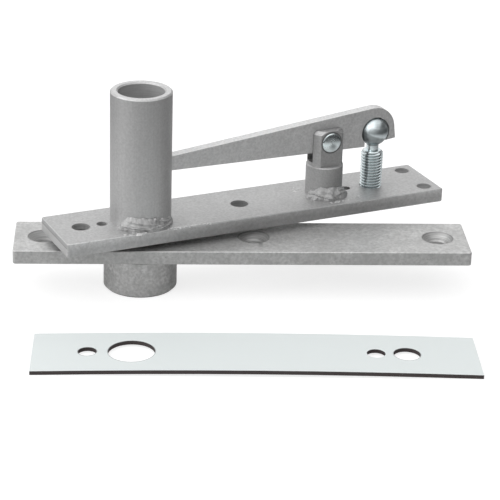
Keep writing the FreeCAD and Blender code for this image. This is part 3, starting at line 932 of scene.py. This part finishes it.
class HINGE_OT_welds(bpy.types.Operator):
    """Model the weld beads round the tube and the post, and the spatter beside them"""

    bl_idname = "hinge.welds"
    bl_label = "Weld beads"

    # Each bead is a row of puddles that run together, as (middle, half width, rise, spread, lean), angles in
    # degrees round the foot. The lean is how far a puddle's crest is turned ahead of its foot.
    tube_front = ((224, 17, 1.0, 0.95, 10), (243, 20, 1.0, 1.0, 0), (262, 12, 0.94, 0.98, -12),
                  (273, 8, 0.93, 0.95, -14), (281, 7, 0.88, 0.9, -12), (289, 7, 0.82, 0.84, -14),
                  (297, 7, 0.74, 0.7, -12), (305, 7, 0.62, 0.6, -12), (313, 7, 0.55, 0.42, -8),
                  (322, 9, 0.5, 0.25, -8))
    tube_rear = ((78, 14, 0.85, 0.9, 6), (92, 13, 0.9, 0.95, 6), (105, 12, 0.8, 0.85, 6))
    post_front = ((206, 17, 0.66, 1.0, 10), (234, 28, 1.02, 0.95, 16), (262, 18, 0.96, 0.98, 10),
                  (286, 34, 0.92, 0.9, -4), (316, 24, 0.6, 0.6, -8))
    post_rear = ((80, 15, 0.7, 0.75, 6), (100, 15, 0.75, 0.7, 6))

    # Laps of metal that run along a bead, as (from, height up the bead, to, height up the bead, rise, width).
    # Heights up the bead go from 0 at the foot to 1 at the crest, and the rise is in millimetres.
    tube_laps = ((212, 0.42, 268, 0.22, 0.35, 0.07), (218, 0.56, 262, 0.36, 0.3, 0.06),
                 (222, 0.8, 250, 0.62, 0.3, 0.08), (240, 0.72, 276, 0.5, 0.3, 0.07),
                 (262, 0.9, 300, 0.66, 0.3, 0.07), (266, 0.34, 296, 0.42, 0.3, 0.07),
                 (276, 0.16, 316, 0.36, 0.3, 0.08), (286, 0.6, 326, 0.7, 0.35, 0.08),
                 (208, 0.9, 222, 0.1, 0.3, 0.2))
    post_laps = ((200, 0.6, 238, 0.34, 0.4, 0.07), (226, 0.42, 270, 0.1, 0.45, 0.08),
                 (214, 0.92, 240, 0.66, 0.25, 0.08), (252, 0.98, 278, 0.1, 0.3, 0.16),
                 (230, 0.8, 262, 0.55, 0.2, 0.09), (272, 0.4, 312, 0.5, 0.25, 0.08),
                 (282, 0.75, 326, 0.7, 0.2, 0.08))

    # Dark places of a bead: pits and burnt places, and painted shade in the undercuts and on the shaded side
    # of the lumps, as (from, to, height up the bead, width, darkness).
    tube_pits = ((213, 221, 1.0, 0.06, 1.0), (245, 251, 1.0, 0.05, 1.0), (256, 262, 1.0, 0.05, 1.0),
                 (271, 277, 1.0, 0.05, 1.0), (216, 240, 0.0, 0.07, 1.0), (253, 263, 0.05, 0.04, 0.9),
                 (300, 316, 1.0, 0.04, 0.8), (262, 320, 0.5, 0.7, 0.28), (282, 300, 0.8, 0.2, 0.4),
                 (266, 280, 0.4, 0.1, 0.5))
    post_pits = ((204, 218, 0.0, 0.06, 0.8), (226, 253, 0.0, 0.05, 0.8), (262, 272, 0.02, 0.04, 0.7),
                 (208, 236, 0.15, 0.07, 0.5), (274, 308, 1.0, 0.16, 0.35))

    # Spatter along the plate's front edge and near the beads, as (x, y, scatter along, scatter across,
    # drops, size), lengths in millimetres.
    spatter_patches = ((-5.6, -15.75, 1.7, 0.3, 12, 0.85), (-10.0, -14.6, 3.0, 0.9, 8, 0.5),
                       (12.5, -15.1, 6.5, 0.9, 30, 0.42), (22.0, -15.3, 4.0, 0.6, 12, 0.4),
                       (74.5, 6.0, 2.2, 2.6, 18, 0.4), (86.0, -12.9, 5.0, 0.6, 12, 0.42),
                       (95.0, -10.5, 3.0, 1.5, 6, 0.34))

    def execute(self, context):
        size = sizes()
        finish = self.finish()
        post_x = (low_corner("clevis_post").x + high_corner("clevis_post").x) / 2
        tube = ((0, 0, PLATE_TOP), TUBE_RADIUS, size.tube_bead_leg, size.tube_bead_height)
        post = ((post_x, 0, PLATE_TOP), POST_RADIUS, size.post_bead_leg, size.post_bead_height)
        tube_marks = (self.tube_front, self.tube_laps, self.tube_pits)
        post_marks = (self.post_front, self.post_laps, self.post_pits)
        for node, seat, start, sweep, taper, marks, seed in (
            ("tube_weld_front", tube, 205, 130, (4, 20), tube_marks, 3),
            ("tube_weld_rear", tube, 66, 48, (10, 10), (self.tube_rear, (), ()), 11),
            ("post_weld_front", post, 200, 140, (5, 14), post_marks, 23),
            ("post_weld_rear", post, 66, 48, (10, 10), (self.post_rear, (), ()), 37),
        ):
            bead = self.bead(node + "_bead", seat, start, sweep, size.bead_lip)
            self.shape(bead, seat, (start, start + sweep), taper, marks, seed)
            fit_on(bead, node, "frame", finish)
        self.spatter(finish)
        return {"FINISHED"}

    def bead(self, name, seat, start, sweep, lip):
        """A nearly flat fillet with blunt edges, spun round the foot and closed at both ends."""
        centre, radius, leg, height = seat
        sunk = 0.4 * MM
        steps = 30
        fullness = 1.25
        section = [(radius - sunk, -sunk), (radius + leg, -sunk)]
        for step in range(steps + 1):
            angle = math.pi / 2 * step / steps
            out = lip + (leg - lip) * math.cos(angle) ** (2 / fullness)
            up = lip + (height - lip) * math.sin(angle) ** (2 / fullness)
            section.append((radius + out, up))
        section.append((radius - sunk, height))
        section.append(section[0])
        bead = lathe(name, section, centre, (0, 0, 1), round(sweep * 1.5), math.radians(sweep))
        edit_mode()
        bpy.ops.mesh.select_all(action="SELECT")
        bpy.ops.transform.rotate(value=-math.radians(start), orient_axis="Z", center_override=centre)
        bpy.ops.mesh.select_all(action="DESELECT")
        bpy.ops.mesh.select_non_manifold()
        bpy.ops.mesh.edge_face_add()
        close_up()
        object_mode()
        return bead

    def shape(self, bead, seat, ends, taper, marks, seed):
        """Moves the crown's points into puddles and laps, and marks how dark the bead is: its pits and burnt
        places, and painted shade in the undercuts and under the laps.
        """
        centre, radius = seat[:2]
        puddles, laps, pits = marks
        root = Vector(centre)
        seam = bead.data.attributes.new("seam", "FLOAT", "POINT")
        for vertex in bead.data.vertices:
            offset = vertex.co - root
            out = math.hypot(offset.x, offset.y) - radius
            up = offset.z
            if out < 0 and up < 0:
                continue
            degrees = math.degrees(math.atan2(offset.y, offset.x)) % 360
            climb = math.atan2(max(up, 0.0), max(out, 0.0)) / (math.pi / 2)
            closing = self.closing(degrees, ends, taper)
            wander = 4 * noise.noise(Vector((degrees * 0.06, climb * 2, seed)))
            rise, spread = self.swell(degrees + wander, climb, puddles)
            rough = 0.06 * noise.noise(vertex.co * 420) + 0.035 * noise.noise(vertex.co * 1100)
            if up > 0:
                up *= closing * (0.25 + 0.75 * rise + rough)
            if out > 0:
                out *= closing * (0.1 + 0.9 * spread + rough)
            heading = Vector((offset.x, offset.y, 0)).normalized()
            vertex.co = root + heading * (radius + out) + Vector((0, 0, up))
            fold, groove = self.lap(degrees, climb, laps)
            slope = climb * math.pi / 2
            skin = min(1.0, 6 * (0.5 - abs(climb - 0.5)))
            outward = heading * math.cos(slope) + Vector((0, 0, math.sin(slope)))
            vertex.co += outward * fold * skin * closing * MM
            # Pits and burnt places, and painted shade in the undercuts and in the groove under each lap.
            dark = max([self.pit(degrees, climb, row) for row in pits] + [0.7 * groove * skin])
            speck = 0.75 + 1.1 * noise.noise(vertex.co * 1300 + Vector((seed, 0, 0)))
            scatter = 0.4 * noise.noise(vertex.co * 900 + Vector((0, seed, 0))) - 0.17
            seam.data[vertex.index].value = clip(dark * speck + scatter)
        select_only(bead)
        bpy.ops.object.shade_smooth_by_angle(angle=math.radians(60))

    def closing(self, degrees, ends, taper):
        """How full the bead is, from 0.12 at its ends to 1 past the taper of each."""
        share = min(clip((degrees - ends[0]) / taper[0]), clip((ends[1] - degrees) / taper[1]))
        return 0.12 + 0.88 * math.sqrt(share * (2 - share))

    def swell(self, degrees, climb, puddles):
        """Rise and spread of the puddles at a place. Where they meet, the larger one shows."""
        rise = spread = 0.0
        for middle, half, high, wide, lean in puddles:
            reach = (degrees - middle - lean * (climb - 0.5)) / half
            swell = max(0.0, 1 - reach * reach) ** 0.55
            rise += (swell * high) ** 5
            spread += (swell * wide) ** 5
        return rise ** 0.2, spread ** 0.2

    def lap(self, degrees, climb, laps):
        """Height of the laps at a place on the bead, and the shade in the groove under each."""
        height = 0.0
        groove = 0.0
        for start, low, end, high, rise, width in laps:
            share = (degrees - start) / (end - start)
            if not 0 < share < 1:
                continue
            fade = math.sin(math.pi * share) ** 0.5
            above = (climb - (low + (high - low) * share)) / width
            spread = 1.0 if above > 0 else 0.45
            height += rise * fade * math.exp(-(above / spread) ** 2)
            groove = max(groove, fade * rise * 2.2 * math.exp(-((above + 0.75) / 0.35) ** 2))
        return height, min(1.0, groove)

    def pit(self, degrees, climb, row):
        start, end, middle, width, dark = row
        along = min(clip((degrees - start) / 2), clip((end - degrees) / 2))
        return dark * along * clip(1.4 - abs(climb - middle) / width)

    def spatter(self, finish):
        """Small drops of weld metal on the frame plate, joined into one piece."""
        dice = random.Random(5)
        drops = []
        for x, y, along, across, count, size in self.spatter_patches:
            for _ in range(count):
                place = Vector((x + dice.uniform(-along, along), y + dice.uniform(-across, across), 0)) * MM
                radius = size * dice.uniform(0.55, 1.0) * MM
                drops.append(self.drop(place, radius, dice))
        select_nothing()
        for drop in drops:
            drop.select_set(True)
        bpy.context.view_layer.objects.active = drops[0]
        bpy.ops.object.join()
        drops[0].name = "weld_spatter"
        # The drops are painted pale, a painted highlight.
        spatter_highlight = drops[0].data.attributes.new("spatter_highlight", "FLOAT", "POINT")
        spatter_highlight.data.foreach_set("value", [1.0] * len(drops[0].data.vertices))
        smooth(drops[0])
        drops[0].data.materials.append(finish)
        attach(drops[0], "frame")

    def drop(self, place, radius, dice):
        """One flattened, uneven drop that is sunk into the plate or over its front edge."""
        over_edge = place.y < PLATE_FRONT + 0.3 * MM
        lowered = 0.25 * MM if over_edge else 0.0
        seat = Vector((place.x, max(place.y, PLATE_FRONT + 0.1 * MM), PLATE_TOP - lowered))
        select_nothing()
        bpy.ops.mesh.primitive_ico_sphere_add(subdivisions=2, radius=radius, location=seat)
        drop = bpy.context.object
        edit_mode()
        stretch = [dice.uniform(low, high) for low, high in ((0.9, 1.7), (0.8, 1.1), (0.45, 0.7))]
        bpy.ops.transform.resize(value=stretch, center_override=seat)
        object_mode()
        bpy.ops.object.transform_apply(location=True, rotation=False, scale=False)
        for vertex in drop.data.vertices:
            vertex.co += (vertex.co - seat) * 0.35 * noise.noise(vertex.co * 2500)
        return drop

    def finish(self):
        """Weld metal: dark at its pits and burnt places, with painted shade in the undercuts, along the edges
        of the bead and under the laps, and painted pale on the drops as a painted highlight.
        """
        weld = Steel("Weld bead", finishes().weld_steel, metallic=0.7, roughness=0.55, cloud=0.004,
                     contrast=1.4, spread=0.08, grain=0.0008, speckle=0.5, bump=0.00008)
        # Painted shade and pits on the beads, and a painted highlight on the drops.
        for name, share in (("seam", 0.25), ("spatter_highlight", 1.5)):
            weld.mark(weld.nodes.add("Attribute", attribute_name=name).outputs["Fac"], share)
        return weld.finished()


class HINGE_OT_cover(bpy.types.Operator):
    """Finish the cover plate, with its pale face and dark cut edges"""

    bl_idname = "hinge.cover"
    bl_label = "Cover plate"

    def execute(self, context):
        tones = finishes()
        material, nodes, surface = new_material("Cover face and edge")
        mottle = nodes.group("Mottle", Cloud_size=0.03, Grain_size=0.0005, Contrast=0.8)
        face = nodes.mix(mottle["Tone"], shade(tones.cover_face, 0.985), shade(tones.cover_face, 1.015))
        for centre, radius in self.holes():
            # Painted shade: a thin grey line on the rolled edge round each hole.
            rim = nodes.ring_mask(centre, (0, 0, 0), radius, 0.28 * MM)
            face = nodes.mix(nodes.times(rim, 0.6), face, shade(tones.cover_face, 0.25))
        level = nodes.math("ABSOLUTE", nodes.split(nodes.normal())["Z"])
        on_face = nodes.remap(level, 0.5, 0.8)
        nodes.link(nodes.mix(on_face, tones.cover_edge, face), surface["Base Color"])
        nodes.link(nodes.remap(on_face, 0.0, 1.0, 0.0, 0.1), surface["Metallic"])
        nodes.link(nodes.remap(mottle["Grain"], 0.2, 0.8, 0.56, 0.66), surface["Roughness"])
        dress("cover_plate", material)
        return {"FINISHED"}

    def holes(self):
        """Places and radii of the holes whose punched, rolled edge gets a thin grey line of painted shade."""
        size = sizes()
        middles = {}
        for opening in frame["record"]["physics"]["openings"]:
            low, high = (Vector(corner) for corner in opening["box_m"])
            middles[opening["name"]] = (low + high) / 2
        pin = middles["cover_pin_hole"]
        key = middles["cover_key_hole"]
        screw = pin - (key - pin).normalized() * size.cover_screw_inset
        return ((pin, size.cover_pin_hole_radius), (key, size.cover_key_hole_radius),
                (screw, size.cover_screw_hole_radius))


class HINGE_OT_stage(bpy.types.Operator):
    """Set the floor, the light and the camera"""

    bl_idname = "hinge.stage"
    bl_label = "Stage"

    def execute(self, context):
        stage = context.scene.hinge_stage
        self.floor()
        self.world(stage.ambient)
        middle = Vector((0.03, -0.03, 0.02))
        self.lamp("overhead_lamp", middle, (-0.05, -0.15, 1.3), side=3.0, power=stage.overhead_power)
        self.lamp("left_lamp", middle, (-1.2, 0.1, 0.55), side=1.4, power=stage.left_power)
        self.camera(context, stage)
        context.scene.view_settings.view_transform = "Standard"
        return {"FINISHED"}

    def floor(self):
        """Floor that the camera sees white, apart from the object's shadow."""
        select_nothing()
        bpy.ops.mesh.primitive_plane_add(size=8.0, location=(0, 0, FLOOR))
        floor = bpy.context.object
        floor.name = "floor"
        material, nodes, surface = new_material("Pale floor", roughness=1.0)
        surface["Specular IOR Level"].default_value = 0.0
        rays = nodes.add("LightPath").outputs
        reach = nodes.vector("LENGTH", nodes.place())
        # In reflections the floor is pale near the object and dark further out, and glows faintly near it: a
        # painted reflection of a darker room beyond.
        near = nodes.remap(reach, 0.15, 0.3, 1.0, 0.0)
        mirrored = nodes.mix(near, grey(0.05), grey(0.62))
        plain = nodes.mix(rays["Is Camera Ray"], grey(0.8), grey(0.35))
        nodes.link(nodes.mix(rays["Is Glossy Ray"], plain, mirrored), surface["Base Color"])
        seen = nodes.times(rays["Is Camera Ray"], nodes.remap(reach, 0.25, 0.6, 0.75, 1.0))
        glossy = nodes.times(nodes.times(rays["Is Glossy Ray"], near), 0.06)
        through = nodes.times(rays["Is Transmission Ray"], 0.75)
        surface["Emission Color"].default_value = (1, 1, 1, 1)
        nodes.link(nodes.plus(nodes.plus(seen, glossy), through), surface["Emission Strength"])
        floor.data.materials.append(material)

    def world(self, ambient):
        """White to the camera, and white at the back in reflections. Light comes from a plain room that
        is paler overhead, at the back and at the left."""
        world = bpy.data.worlds.new("Studio")
        bpy.context.scene.world = world
        world.use_nodes = True
        nodes = Nodes(world.node_tree)
        rays = nodes.add("LightPath").outputs
        parts = nodes.split(nodes.add("TexCoord").outputs["Generated"])
        upward = nodes.remap(parts["Z"], 0.0, 0.9, 0.0, 0.3)
        backward = nodes.remap(parts["Y"], 0.0, 0.8, 0.0, 1.9)
        leftward = nodes.remap(parts["X"], 0.2, -0.8, 0.0, 1.1)
        least = 0.22
        room = nodes.plus(nodes.plus(upward, nodes.math("MAXIMUM", backward, leftward)), least)
        direct = nodes.math("MAXIMUM", rays["Is Camera Ray"], rays["Is Transmission Ray"])
        mirrored = nodes.times(rays["Is Glossy Ray"], nodes.remap(parts["Y"], 0.68, 1.0))
        white = nodes.math("MAXIMUM", direct, mirrored)
        lit = nodes.times(nodes.times(room, ambient), nodes.math("SUBTRACT", 1.0, white))
        background = world.node_tree.nodes["Background"].inputs
        nodes.link(nodes.plus(white, lit), background["Strength"])
        background["Color"].default_value = (1, 1, 1, 1)

    def lamp(self, name, target, offset, side, power):
        """Square lamp that stands at an offset from its target and looks at it."""
        select_nothing()
        place = target + Vector(offset)
        bpy.ops.object.light_add(type="AREA", location=place)
        lamp = bpy.context.object
        lamp.name = name
        lamp.data.shape = "SQUARE"
        lamp.data.size = side
        lamp.data.energy = power
        lamp.rotation_mode = "QUATERNION"
        lamp.rotation_quaternion = (place - target).to_track_quat("Z", "Y")

    def camera(self, context, stage):
        forward = Vector((math.sin(stage.yaw) * math.cos(stage.pitch),
                          math.cos(stage.yaw) * math.cos(stage.pitch), -math.sin(stage.pitch)))
        level = Vector((math.cos(stage.yaw), -math.sin(stage.yaw), 0))
        upright = level.cross(forward)
        right = math.cos(stage.roll) * level + math.sin(stage.roll) * upright
        up = math.cos(stage.roll) * upright - math.sin(stage.roll) * level
        select_nothing()
        bpy.ops.object.camera_add(location=stage.eye)
        camera = bpy.context.object
        camera.data.lens = stage.lens
        camera.data.sensor_width = 36.0
        camera.data.clip_end = 20.0
        turn = Matrix((right, up, -forward)).transposed()
        camera.rotation_mode = "QUATERNION"
        camera.rotation_quaternion = turn.to_quaternion()
        context.scene.camera = camera


OPERATORS = (
    HINGE_OT_plates,
    HINGE_OT_tube,
    HINGE_OT_beam,
    HINGE_OT_bearing,
    HINGE_OT_screw,
    HINGE_OT_rivet,
    HINGE_OT_welds,
    HINGE_OT_cover,
    HINGE_OT_stage,
)


class HINGE_PT_panel(bpy.types.Panel):
    """Buttons for each group of pieces"""

    bl_label = "Pivot hinge"
    bl_space_type = "VIEW_3D"
    bl_region_type = "UI"
    bl_category = "Hinge"

    def draw(self, context):
        for operator in OPERATORS:
            self.layout.operator(operator.bl_idname)


GROUP_CLASSES = (HingeSizes, HingeFinishes, HingeStage)


def register():
    for cls in (*GROUP_CLASSES, *OPERATORS, HINGE_PT_panel):
        bpy.utils.register_class(cls)
    bpy.types.Scene.hinge_sizes = bpy.props.PointerProperty(type=HingeSizes)
    bpy.types.Scene.hinge_finishes = bpy.props.PointerProperty(type=HingeFinishes)
    bpy.types.Scene.hinge_stage = bpy.props.PointerProperty(type=HingeStage)


def unregister():
    del bpy.types.Scene.hinge_stage
    del bpy.types.Scene.hinge_finishes
    del bpy.types.Scene.hinge_sizes
    for cls in reversed((*GROUP_CLASSES, *OPERATORS, HINGE_PT_panel)):
        bpy.utils.unregister_class(cls)


def main():
    register()
    bpy.ops.hinge.plates()
    bpy.ops.hinge.tube()
    bpy.ops.hinge.beam()
    bpy.ops.hinge.bearing()
    bpy.ops.hinge.screw()
    bpy.ops.hinge.rivet()
    bpy.ops.hinge.welds()
    bpy.ops.hinge.cover()
    bpy.ops.hinge.stage()


if __name__ == "__main__":
    main()
